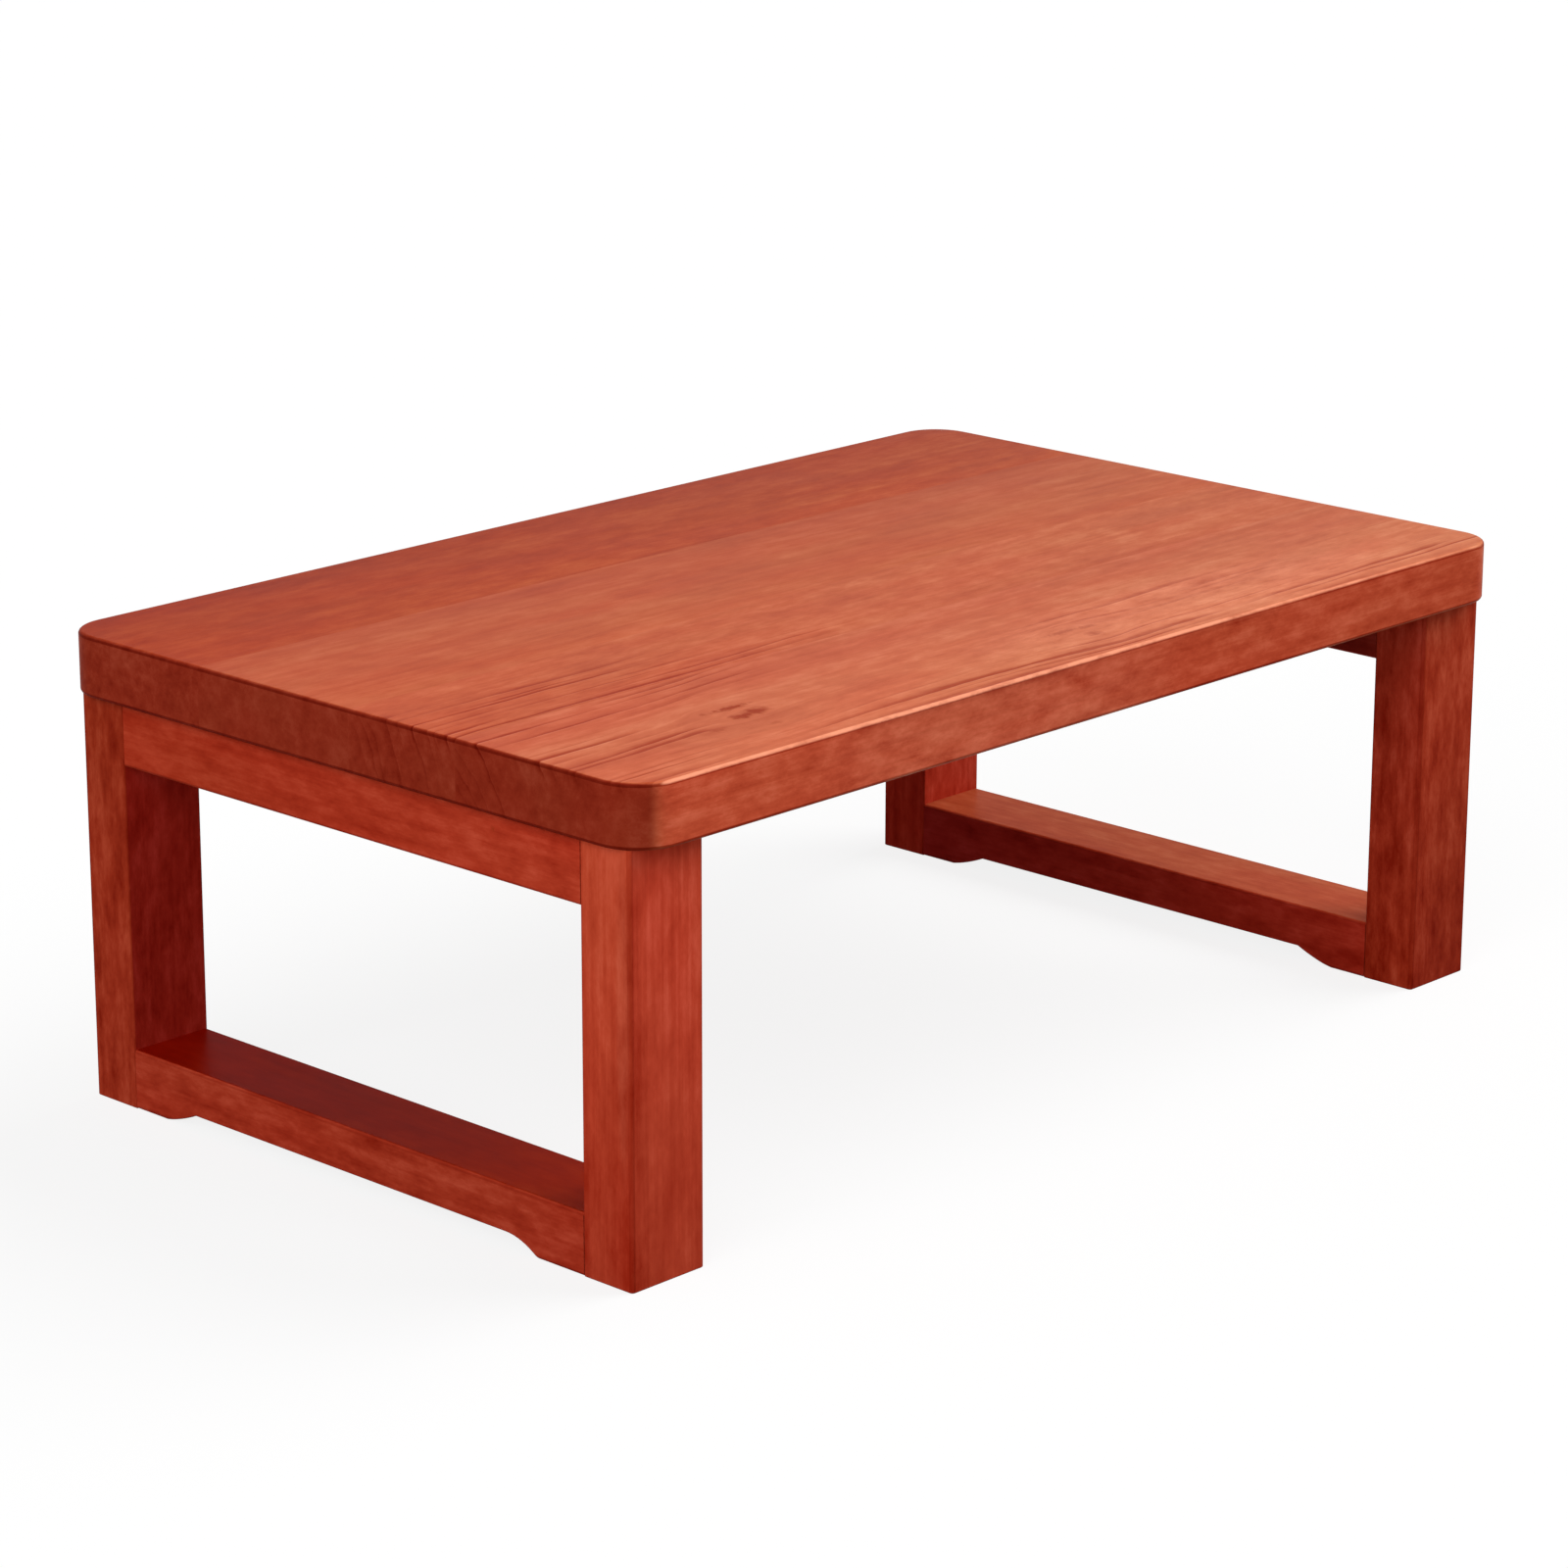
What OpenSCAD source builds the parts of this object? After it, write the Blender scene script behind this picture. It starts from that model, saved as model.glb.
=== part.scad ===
// Low floor table of edge-glued pine: a four-board top carried by two closed leg frames.
// The long side lies along X, the depth along Y with the front at -Y, and the floor is z = 0.

/* [Top] */
// Length of the top, along X
top_length = 800; // [640:10:1200]
// Depth of the top, along Y
top_depth = 500; // [460:10:640]
// Thickness of the top
top_thickness = 39; // [32:1:50]
// Radius of the top's corners in plan
top_corner_radius = 30; // [14:1:44]
// Rounding of the top's upper and lower edges
top_edge_rounding = 2.5; // [1.5:0.5:9]
// Width of the rear board
rear_board_width = 131; // [110:1:150]
// Width of the board between the middle and the rear board
mid_rear_board_width = 133; // [100:1:150]
// Width of the board between the middle and the front board
mid_front_board_width = 90; // [70:1:110]

/* [Leg frames] */
// Height of the table from the floor to its upper face
table_height = 300; // [230:5:420]
// How far the top stands out past the frames at its two ends
end_overhang = 6; // [2:1:40]
// How far the top stands out past the frames at the front and rear
side_overhang = 13; // [2:1:24]
// Width of the posts and rails, along X
frame_width = 58; // [46:1:80]
// Depth of the posts, along Y
post_depth = 39; // [33:1:46]
// Height of the upper rails
upper_rail_height = 40; // [34:1:60]
// Height of the lower rails
lower_rail_height = 38.5; // [32:0.5:60]
// Rounding of the posts' outer upright edges
post_edge_rounding = 2.5; // [1:0.5:6]
// Rounding of the posts' upright edges beside the rails
joint_edge_rounding = 1; // [0.5:0.5:3]
// Rounding of the rails' long edges
rail_edge_rounding = 2; // [1:0.5:4]

/* [Feet] */
// Height of the relief under the lower rails
relief_height = 9.5; // [5:0.5:12]
// Length of the feet, from the posts' outer faces to where the relief starts
foot_length = 66; // [58:1:100]
// Length of the curve from a foot up to the relief's full height
relief_run = 29; // [12:1:50]
// Bow of that curve, from -1 for steep at the foot to 1 for steep at the rail
relief_bow = 0.4; // [-1:0.1:1]
// Length of the foot at the left frame's front end
front_left_foot_length = 77; // [58:1:100]
// Length of the curve at that foot
front_left_relief_run = 27; // [12:1:50]
// Bow of the curve at that foot
front_left_relief_bow = -1; // [-1:0.1:1]

/* [Joinery] */
// Thickness of the rails' tenons, along X
tenon_thickness = 18; // [12:1:24]
// Length of the tenons
tenon_length = 26; // [18:1:28]
// Shoulder over and under each tenon
tenon_shoulder = 7; // [4:0.5:9]
// Room for glue all round a tenon or a dowel
glue_gap = 0.1; // [0.05:0.05:0.3]
// Room for glue at the end of a tenon or a dowel
end_gap = 0.8; // [0.3:0.1:1.5]
// Diameter of the dowels in the top's seams
dowel_diameter = 10; // [8:1:14]
// Length of those dowels
dowel_length = 50; // [30:1:60]
// Dowels in each seam
dowels_per_seam = 5; // [3:1:9]
// Distance from the top's ends to the outermost dowels
dowel_end_distance = 100; // [90:1:160]

/* [Hardware] */
// Nominal diameter of the frame bolts
bolt_diameter = 8; // [6:1:8]
// Depth to which a bolt enters its insert
thread_engagement = 17; // [10:1:19]
// Diameter of the bolts' button heads
bolt_head_diameter = 14; // [12:0.5:16]
// Height of the bolts' heads
bolt_head_height = 4.4; // [4:0.1:6]
// Width across flats of the hexagonal sockets
hex_key_size = 5; // [4:0.5:6]
// Outer diameter of the washers
washer_diameter = 24; // [20:1:25]
// Thickness of the washers
washer_thickness = 2; // [1.2:0.1:3]
// Diameter of the counterbores under the upper rails
counterbore_diameter = 26; // [25.5:0.5:30]
// Depth of those counterbores
counterbore_depth = 14; // [10:1:20]
// Room round a bolt in its washer and its slot
bolt_clearance = 0.5; // [0.2:0.1:0.8]
// Length by which a slot lets the top shrink and swell
slot_travel = 4; // [0:0.5:6]
// Outer diameter of the threaded inserts
insert_diameter = 12; // [11:0.5:14]
// Length of the inserts
insert_length = 20; // [19:1:22]
// Room round an insert in its hole, and round a bolt in its insert
thread_clearance = 0.1; // [0.05:0.05:0.2]

/* [Hidden] */

$fn = 48;
left = -1;
right = 1;
front = -1;
rear = 1;

// Extra depth of a cutter past the face that it opens
past = 1;
// Steps along the relief's curve
relief_steps = 8;

// Height of the top's underside, where posts and upper rails end
frame_height = table_height - top_thickness;
// Distance from the middle of the table to the middle of a frame
frame_x = top_length/2 - end_overhang - frame_width/2;
// Half of a frame's depth, to the posts' outer faces
frame_half_depth = top_depth/2 - side_overhang;
// Half of a rail's length between its shoulders
rail_half_length = frame_half_depth - post_depth;

// Seams between the boards, from the rear, with the top's rear and front faces at the ends
rear_seam = top_depth/2 - rear_board_width;
middle_seam = rear_seam - mid_rear_board_width;
front_seam = middle_seam - mid_front_board_width;
board_limits = [top_depth/2, rear_seam, middle_seam, front_seam, -top_depth/2];

// One bolt under each board, in the middle of the stretch that the rail spans
bolt_places = [
    for (i = [0 : len(board_limits) - 2])
        (min(board_limits[i], rail_half_length) + max(board_limits[i + 1], -rail_half_length))/2
];
bolt_seat = frame_height - upper_rail_height + counterbore_depth;
bolt_length = upper_rail_height - counterbore_depth + washer_thickness + thread_engagement;
insert_hole_depth = insert_length + end_gap;

dowel_height = table_height - top_thickness/2;
dowel_span = top_length - 2*dowel_end_distance;
dowel_places = [for (i = [0 : dowels_per_seam - 1]) dowel_span*(i/(dowels_per_seam - 1) - 0.5)];

upper_tenon_height = upper_rail_height - 2*tenon_shoulder;
lower_tenon_height = lower_rail_height - 2*tenon_shoulder;
upper_tenon_middle = frame_height - upper_rail_height/2;
lower_tenon_middle = lower_rail_height/2;

stained_top = [0.77, 0.38, 0.27];
stained_frame = [0.62, 0.22, 0.13];
bare_beech = [0.80, 0.66, 0.48];
zinc = [0.72, 0.73, 0.74];
black_zinc = [0.20, 0.20, 0.21];

// Rectangle centred on the origin with rounded corners
module rounded_rectangle(width, height, radius) {
    square([width - 2*radius, height], center = true);
    square([width, height - 2*radius], center = true);
    for (x = [-1, 1], y = [-1, 1])
        translate([x*(width/2 - radius), y*(height/2 - radius)])
            circle(r = radius);
}

// Plan of a post, its outer corners on the +Y side
module post_plan() {
    half_width = frame_width/2;
    half_depth = post_depth/2;
    outer = post_edge_rounding;
    inner = joint_edge_rounding;
    square([frame_width - 2*outer, post_depth], center = true);
    translate([-half_width, -half_depth + inner])
        square([frame_width, post_depth - inner - outer]);
    translate([-half_width + inner, -half_depth])
        square([frame_width - 2*inner, outer]);
    for (side = [-1, 1]) {
        translate([side*(half_width - outer), half_depth - outer])
            circle(r = outer);
        translate([side*(half_width - inner), -half_depth + inner])
            circle(r = inner);
    }
}

// Round-ended tenon or mortise, standing along +Y from the origin, upright in section
module tenon_shape(thickness, height, depth) {
    rotate([-90, 0, 0])
        linear_extrude(depth) {
            square([thickness, height - thickness], center = true);
            for (end = [-1, 1])
                translate([0, end*(height - thickness)/2])
                    circle(d = thickness);
        }
}

// The whole top before it is sawn into its boards
module top_blank() {
    corner_x = top_length/2 - top_corner_radius;
    corner_y = top_depth/2 - top_corner_radius;
    translate([0, 0, table_height - top_thickness/2]) {
        translate([-corner_x, 0, 0])
            rotate([90, 0, 90])
                linear_extrude(2*corner_x)
                    rounded_rectangle(top_depth, top_thickness, top_edge_rounding);
        translate([0, corner_y, 0])
            rotate([90, 0, 0])
                linear_extrude(2*corner_y)
                    rounded_rectangle(top_length, top_thickness, top_edge_rounding);
        for (x = [-1, 1], y = [-1, 1])
            translate([x*corner_x, y*corner_y, 0])
                corner_disc();
    }
}

// Disc with a rounded rim that closes a corner of the top
module corner_disc() {
    rotate_extrude() {
        translate([0, -top_thickness/2])
            square([top_corner_radius - top_edge_rounding, top_thickness]);
        translate([0, -top_thickness/2 + top_edge_rounding])
            square([top_corner_radius, top_thickness - 2*top_edge_rounding]);
        for (side = [-1, 1])
            translate([top_corner_radius - top_edge_rounding, side*(top_thickness/2 - top_edge_rounding)])
                circle(r = top_edge_rounding);
    }
}

// Dowels along one seam; a hole takes the glue gaps as well
module dowel_row(seam, gap, room) {
    for (x = dowel_places)
        translate([x, seam, dowel_height])
            rotate([90, 0, 0])
                cylinder(d = dowel_diameter + 2*gap, h = dowel_length + 2*room, center = true);
}

// Board number i of the top, counted from the rear
module top_board(i) {
    rear_face = board_limits[i];
    front_face = board_limits[i + 1];
    last = len(board_limits) - 2;
    color(stained_top)
        difference() {
            intersection() {
                top_blank();
                translate([-top_length/2 - past, front_face, frame_height - past])
                    cube([top_length + 2*past, rear_face - front_face, top_thickness + 2*past]);
            }
            if (i > 0)
                dowel_row(rear_face, glue_gap, end_gap);
            if (i < last)
                dowel_row(front_face, glue_gap, end_gap);
            for (side = [left, right])
                translate([side*frame_x, bolt_places[i], frame_height - past])
                    cylinder(d = insert_diameter + 2*thread_clearance, h = insert_hole_depth + past);
        }
}

module top_board_rear() {
    top_board(0);
}

module top_board_mid_rear() {
    top_board(1);
}

module top_board_mid_front() {
    top_board(2);
}

module top_board_front() {
    top_board(3);
}

module rear_seam_dowels() {
    color(bare_beech)
        dowel_row(rear_seam, 0, 0);
}

module middle_seam_dowels() {
    color(bare_beech)
        dowel_row(middle_seam, 0, 0);
}

module front_seam_dowels() {
    color(bare_beech)
        dowel_row(front_seam, 0, 0);
}

// Post with its two mortises; the rear post is the shape as drawn, the front one its mirror image
module post(side, end) {
    color(stained_frame)
        translate([side*frame_x, 0, 0])
            mirror([0, end == front ? 1 : 0, 0])
                difference() {
                    translate([0, frame_half_depth - post_depth/2, 0])
                        linear_extrude(frame_height)
                            post_plan();
                    translate([0, rail_half_length, upper_tenon_middle])
                        mortise(upper_tenon_height);
                    translate([0, rail_half_length, lower_tenon_middle])
                        mortise(lower_tenon_height);
                }
}

module mortise(height) {
    translate([0, -past, 0])
        tenon_shape(tenon_thickness + 2*glue_gap, height + 2*glue_gap, tenon_length + end_gap + past);
}

module left_post_rear() {
    post(left, rear);
}

module left_post_front() {
    post(left, front);
}

module right_post_rear() {
    post(right, rear);
}

module right_post_front() {
    post(right, front);
}

// Bar between the shoulders of a rail, its long edges rounded
module rail_bar(height) {
    translate([0, rail_half_length, height/2])
        rotate([90, 0, 0])
            linear_extrude(2*rail_half_length)
                rounded_rectangle(frame_width, height, rail_edge_rounding);
}

// Tenons at both ends of a rail
module rail_tenons(height, middle) {
    for (end = [front, rear])
        mirror([0, end == front ? 1 : 0, 0])
            translate([0, rail_half_length - past, middle])
                tenon_shape(tenon_thickness, height, tenon_length + past);
}

module upper_rail(side) {
    color(stained_frame)
        translate([side*frame_x, 0, 0])
            difference() {
                union() {
                    translate([0, 0, frame_height - upper_rail_height])
                        rail_bar(upper_rail_height);
                    rail_tenons(upper_tenon_height, upper_tenon_middle);
                }
                for (y = bolt_places)
                    translate([0, y, 0])
                        bolt_passage();
            }
}

// Counterbore from below, and the slot above it that lets the top move across its grain
module bolt_passage() {
    slot_width = bolt_diameter + 2*bolt_clearance;
    translate([0, 0, frame_height - upper_rail_height - past])
        cylinder(d = counterbore_diameter, h = counterbore_depth + past);
    translate([0, 0, bolt_seat - past])
        linear_extrude(upper_rail_height - counterbore_depth + 2*past) {
            square([slot_width, slot_travel], center = true);
            for (end = [-1, 1])
                translate([0, end*slot_travel/2])
                    circle(d = slot_width);
        }
}

module left_upper_rail() {
    upper_rail(left);
}

module right_upper_rail() {
    upper_rail(right);
}

// Points of the relief from a foot's end towards the middle of the rail
function relief_curve(foot, run, bow) = [
    for (i = [0 : relief_steps])
        let (t = i/relief_steps)
            [frame_half_depth - foot - run*t, relief_height*((1 - bow)*t + bow*t*t)]
];

// The same points at the front end, from the middle out to the foot
function front_curve(points) = [for (i = [len(points) - 1 : -1 : 0]) [-points[i][0], points[i][1]]];

module lower_rail(side, front_points) {
    rear_points = relief_curve(foot_length, relief_run, relief_bow);
    mid_height = lower_rail_height/2;
    color(stained_frame)
        translate([side*frame_x, 0, 0]) {
            difference() {
                rail_bar(lower_rail_height);
                translate([-frame_width/2 - past, 0, 0])
                    rotate([90, 0, 90])
                        linear_extrude(frame_width + 2*past)
                            relief_outline(rear_points, front_curve(front_points));
            }
            rail_tenons(lower_tenon_height, mid_height);
        }
}

// Outline of what is sawn out under a lower rail, seen from the end of the table
module relief_outline(rear_points, front_points) {
    last = len(front_points) - 1;
    start = [rear_points[0][0], -past];
    finish = [front_points[last][0], -past];
    polygon(concat([start], rear_points, front_points, [finish]));
}

module left_lower_rail() {
    lower_rail(left, relief_curve(front_left_foot_length, front_left_relief_run, front_left_relief_bow));
}

module right_lower_rail() {
    lower_rail(right, relief_curve(foot_length, relief_run, relief_bow));
}

// Puts a child at every bolt of one frame
module at_bolts(side) {
    for (y = bolt_places)
        translate([side*frame_x, y, 0])
            children();
}

// Button-headed socket bolt, its head below the washer and its thread upwards
module bolt() {
    dome = 1.6;
    socket_depth = 2.6;
    tip = 1;
    head_radius = bolt_head_diameter/2;
    seat = bolt_seat - washer_thickness;
    difference() {
        union() {
            translate([0, 0, seat - bolt_head_height])
                cylinder(r1 = head_radius - dome, r2 = head_radius, h = dome);
            translate([0, 0, seat - bolt_head_height + dome])
                cylinder(r = head_radius, h = bolt_head_height - dome);
            translate([0, 0, seat])
                cylinder(d = bolt_diameter, h = bolt_length - tip);
            translate([0, 0, seat + bolt_length - tip])
                cylinder(d1 = bolt_diameter, d2 = bolt_diameter - 2*tip, h = tip);
        }
        translate([0, 0, seat - bolt_head_height - past])
            cylinder(d = hex_key_size/cos(30), h = socket_depth + past, $fn = 6);
    }
}

module left_bolts() {
    color(black_zinc)
        at_bolts(left)
            bolt();
}

module right_bolts() {
    color(black_zinc)
        at_bolts(right)
            bolt();
}

module washer() {
    translate([0, 0, bolt_seat - washer_thickness])
        difference() {
            cylinder(d = washer_diameter, h = washer_thickness);
            translate([0, 0, -past])
                cylinder(d = bolt_diameter + 2*bolt_clearance, h = washer_thickness + 2*past);
        }
}

module left_washers() {
    color(zinc)
        at_bolts(left)
            washer();
}

module right_washers() {
    color(zinc)
        at_bolts(right)
            washer();
}

// Threaded insert flush with the top's underside, with rings that grip the wood
module threaded_insert() {
    ring_depth = 0.8;
    ring_pitch = 4;
    groove = 2;
    outer = insert_diameter/2;
    translate([0, 0, frame_height])
        difference() {
            cylinder(r = outer, h = insert_length);
            for (z = [ring_pitch - groove : ring_pitch : insert_length - groove])
                translate([0, 0, z])
                    difference() {
                        cylinder(r = outer + past, h = groove);
                        translate([0, 0, -past])
                            cylinder(r = outer - ring_depth, h = groove + 2*past);
                    }
            translate([0, 0, -past])
                cylinder(d = bolt_diameter + 2*thread_clearance, h = insert_length + 2*past);
        }
}

module left_inserts() {
    color(zinc)
        at_bolts(left)
            threaded_insert();
}

module right_inserts() {
    color(zinc)
        at_bolts(right)
            threaded_insert();
}

top_board_rear();
top_board_mid_rear();
top_board_mid_front();
top_board_front();
rear_seam_dowels();
middle_seam_dowels();
front_seam_dowels();
left_post_rear();
left_post_front();
right_post_rear();
right_post_front();
left_upper_rail();
right_upper_rail();
left_lower_rail();
right_lower_rail();
left_bolts();
right_bolts();
left_washers();
right_washers();
left_inserts();
right_inserts();
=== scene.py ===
"""Low floor table of stained pine: the finish of every piece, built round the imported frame."""

import math
from dataclasses import dataclass, field

import bmesh
import bpy
from bpy.props import FloatProperty, FloatVectorProperty, IntProperty, PointerProperty
from bpy.types import Operator, Panel, PropertyGroup
from mathutils import Matrix, Vector


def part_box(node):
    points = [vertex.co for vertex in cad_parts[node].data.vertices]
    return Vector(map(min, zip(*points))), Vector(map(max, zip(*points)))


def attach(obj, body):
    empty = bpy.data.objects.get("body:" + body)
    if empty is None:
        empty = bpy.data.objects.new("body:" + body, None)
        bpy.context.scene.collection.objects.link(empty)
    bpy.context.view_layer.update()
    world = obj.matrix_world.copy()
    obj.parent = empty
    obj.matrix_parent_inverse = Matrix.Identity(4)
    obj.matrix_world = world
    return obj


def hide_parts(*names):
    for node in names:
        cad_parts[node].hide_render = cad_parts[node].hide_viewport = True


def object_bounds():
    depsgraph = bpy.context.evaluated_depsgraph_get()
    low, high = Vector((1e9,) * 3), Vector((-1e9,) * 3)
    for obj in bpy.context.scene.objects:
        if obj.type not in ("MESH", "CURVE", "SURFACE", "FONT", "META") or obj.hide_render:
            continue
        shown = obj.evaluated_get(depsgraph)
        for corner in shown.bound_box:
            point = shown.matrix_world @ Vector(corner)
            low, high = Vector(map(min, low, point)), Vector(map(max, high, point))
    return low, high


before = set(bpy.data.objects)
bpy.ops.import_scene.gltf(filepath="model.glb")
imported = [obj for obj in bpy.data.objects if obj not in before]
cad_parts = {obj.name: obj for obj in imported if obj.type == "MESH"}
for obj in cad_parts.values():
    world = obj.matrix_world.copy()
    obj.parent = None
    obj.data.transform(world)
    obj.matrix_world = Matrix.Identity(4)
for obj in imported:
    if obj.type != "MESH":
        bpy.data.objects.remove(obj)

bl_info = {
    "name": "Japanese Low Table",
    "version": (1, 0, 0),
    "blender": (4, 5, 0),
    "location": "3D View > Sidebar > Low Table",
    "description": "Finishes the pieces of a stained pine floor table and sets up its studio",
    "category": "Object",
}

MM = 0.001
BODY = "root"
CAD_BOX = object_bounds()
AXES = {"X": 0, "Y": 1, "Z": 2}

# Sizes of the frame's pieces that their finish goes by
TOP_CORNER = 30 * MM
COUNTERBORE_RADIUS = 13 * MM
BOLT_HEAD = 4.4 * MM
BOLT_RADIUS = 4.0 * MM

# A face this far inside a member's box belongs to a joint or a bore
INSIDE = 3 * MM

# Points this close are one, on the frame's meshes and on turned ones
WELD = 0.002 * MM
TURNED_WELD = 0.001 * MM

# Arrises sharper than the first are sanded, and those flatter than the second are shaded smooth
SHARP = math.radians(40)
SMOOTH = math.radians(35)


# How each member was sawn and stained, and the painted light and shade that its stains carry

@dataclass
class Knot:
    """A dark mark that a small branch left, which runs through a member along one axis.
    It is radius wide on each side and drawn out along X by the factor drawn_out."""

    centre: tuple
    through: str
    radius: float
    strength: float
    drawn_out: float = 1.0


@dataclass
class Patch:
    """A stretch of a member's surface, such as one where the growth rings stand out."""

    centre: tuple
    reach: tuple
    strength: float


@dataclass
class Stain:
    """What the stain's colour is multiplied by at the low and at the high end along the grain. Some of these
    hold painted shade and painted sheen as well.
    """

    low: tuple
    high: tuple


def even_stain(*colour):
    """A stain that is the same from end to end, also used for an even painted shade."""
    return Stain(colour, colour)


@dataclass
class Timber:
    """How a member was cut from its log and how it took the stain. Lengths are in metres.
    faces has the stain of both faces across an axis, or of the one that looks down it for a minus; faces
    under the top hold painted shade there, and some hold painted sheen. The darkening towards the feet is
    painted shade. The growth rings stand out over patches, and a painted highlight and painted sheen lie over
    the patches listed after them."""

    grain: str
    pith: tuple
    ring: float
    stain: Stain
    run_out: float
    shift: float
    rear_stain: Stain = None
    faces: dict = field(default_factory=dict)
    figure: float = 0.07
    bands: float = 0.3
    painted_foot_shade: float = 0.0
    mottle: float = 0.8
    arris: float = 0.5
    patches: tuple = ()
    painted_highlights: tuple = ()
    knots: tuple = ()


# The top's stains grow paler and more orange towards the front and the right: besides each board's own tone,
# this is painted sheen and a painted fall of light across the top
TOP_TIMBER = {
    "top_board_rear": Timber(
        "X", (0, 0.205, 0.215), ring=0.0052, run_out=0.4, mottle=0.95, arris=1.0, shift=1.3,
        stain=Stain((0.81, 1.05, 0.54), (0.85, 1.44, 0.90)),
        rear_stain=Stain((0.64, 0.63, 0.30), (0.69, 1.07, 0.74))),
    "top_board_mid_rear": Timber(
        "X", (0, 0.060, 0.190), ring=0.0060, run_out=-0.5, mottle=0.6, arris=1.0, shift=4.1,
        stain=Stain((1.00, 1.92, 1.50), (1.02, 2.45, 2.10)),
        rear_stain=Stain((0.92, 1.64, 1.38), (0.86, 1.84, 1.66))),
    "top_board_mid_front": Timber(
        "X", (0, 0.075, 0.230), ring=0.0074, run_out=1.4, figure=0.06, arris=1.0, shift=7.7,
        stain=Stain((1.08, 2.20, 1.86), (1.04, 2.55, 2.35)),
        rear_stain=Stain((1.04, 2.04, 1.72), (1.04, 2.60, 2.38)),
        patches=(Patch((-0.33, -0.088, 0.300), (0.20, 0.046, 0.010), 1.6),
                 Patch((-0.15, -0.088, 0.300), (0.12, 0.012, 0.010), 0.9),
                 Patch((-0.400, -0.056, 0.280), (0.012, 0.045, 0.034), 0.8))),
    "top_board_front": Timber(
        "X", (0, -0.010, 0.205), ring=0.0078, run_out=1.1, mottle=0.65, arris=1.0, shift=11.2,
        stain=Stain((1.24, 3.10, 3.00), (1.31, 4.10, 4.10)),
        rear_stain=Stain((1.10, 2.32, 2.24), (1.02, 2.48, 2.42)),
        faces={"Y": Stain((1.34, 2.10, 2.05), (1.10, 1.62, 1.45))},
        patches=(Patch((-0.34, -0.118, 0.300), (0.17, 0.030, 0.010), 1.6),
                 Patch((-0.37, -0.185, 0.300), (0.10, 0.026, 0.010), 1.6),
                 Patch((0.04, -0.236, 0.300), (0.62, 0.020, 0.008), 1.4),
                 Patch((0.12, -0.180, 0.300), (0.14, 0.026, 0.010), 0.9),
                 Patch((-0.400, -0.132, 0.280), (0.012, 0.034, 0.034), 0.8)),
        # Painted highlight along the front arris, and painted sheen on the front right of the top and on the
        # front face
        painted_highlights=(Patch((-0.15, -0.2490, 0.2995), (0.60, 0.0017, 0.0017), 1.0),
                Patch((0.13, -0.205, 0.300), (0.22, 0.050, 0.010), 0.25),
                Patch((-0.10, -0.250, 0.280), (0.17, 0.006, 0.060), 0.17)),
        knots=(Knot((-0.241, -0.186, 0.300), "Z", 0.0050, 1.2, 1.6),
               Knot((-0.255, -0.188, 0.300), "Z", 0.0044, 1.1, 1.5),
               Knot((-0.247, -0.171, 0.300), "Z", 0.0030, 1.1, 4.0),
               Knot((-0.268, -0.170, 0.300), "Z", 0.0022, 0.5),
               Knot((-0.285, -0.199, 0.300), "Z", 0.0026, 0.6, 2.0),
               Knot((-0.251, -0.211, 0.300), "Z", 0.0024, 0.4, 2.0),
               Knot((0.016, -0.198, 0.300), "Z", 0.0024, 0.9, 5.0),
               Knot((0.028, -0.214, 0.300), "Z", 0.0042, 0.8, 1.3),
               Knot((0.038, -0.200, 0.300), "Z", 0.0026, 0.8, 2.5))),
}

POST_TIMBER = {
    "left_post_rear": Timber(
        "Z", (-0.330, 0.300, 0), ring=0.0062, run_out=0.6, bands=0.5, mottle=1.0, shift=2.2,
        stain=Stain((0.93, 0.90, 0.78), (0.74, 0.75, 0.54)),
        # Painted shade on the inner side under the top, which also falls on the back
        faces={"Y": even_stain(0.89, 0.48, 0.60)}),
    "left_post_front": Timber(
        "Z", (-0.318, -0.150, 0), ring=0.0070, run_out=-0.5, bands=0.7, mottle=0.45, shift=5.9,
        stain=Stain((1.32, 1.65, 1.68), (1.38, 1.76, 1.62)),
        # Painted shade: the front face and the foot darker towards the floor
        faces={"Y": Stain((1.05, 1.36, 1.36), (1.36, 1.54, 1.62))}, painted_foot_shade=0.20,
        # Painted highlight beside the near corner
        painted_highlights=(Patch((-0.394, -0.2305, 0.170), (0.003, 0.0055, 0.110), 0.09),)),
    "right_post_rear": Timber(
        "Z", (0.300, 0.140, 0), ring=0.0058, run_out=0.3, bands=0.5, shift=8.4,
        stain=Stain((1.06, 1.00, 1.04), (1.06, 0.98, 1.02)),
        # Painted shade on the inner face under the top
        faces={"-X": even_stain(0.78, 0.44, 0.44)}),
    "right_post_front": Timber(
        "Z", (0.440, -0.180, 0), ring=0.0064, run_out=0.5, bands=0.5, mottle=1.0, shift=9.6,
        stain=Stain((0.88, 0.90, 0.74), (0.90, 0.86, 0.88)),
        # Painted shade: the front face and the foot darker towards the floor
        faces={"Y": Stain((0.62, 0.52, 0.43), (0.91, 1.05, 0.88))}, painted_foot_shade=0.18),
}

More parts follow.
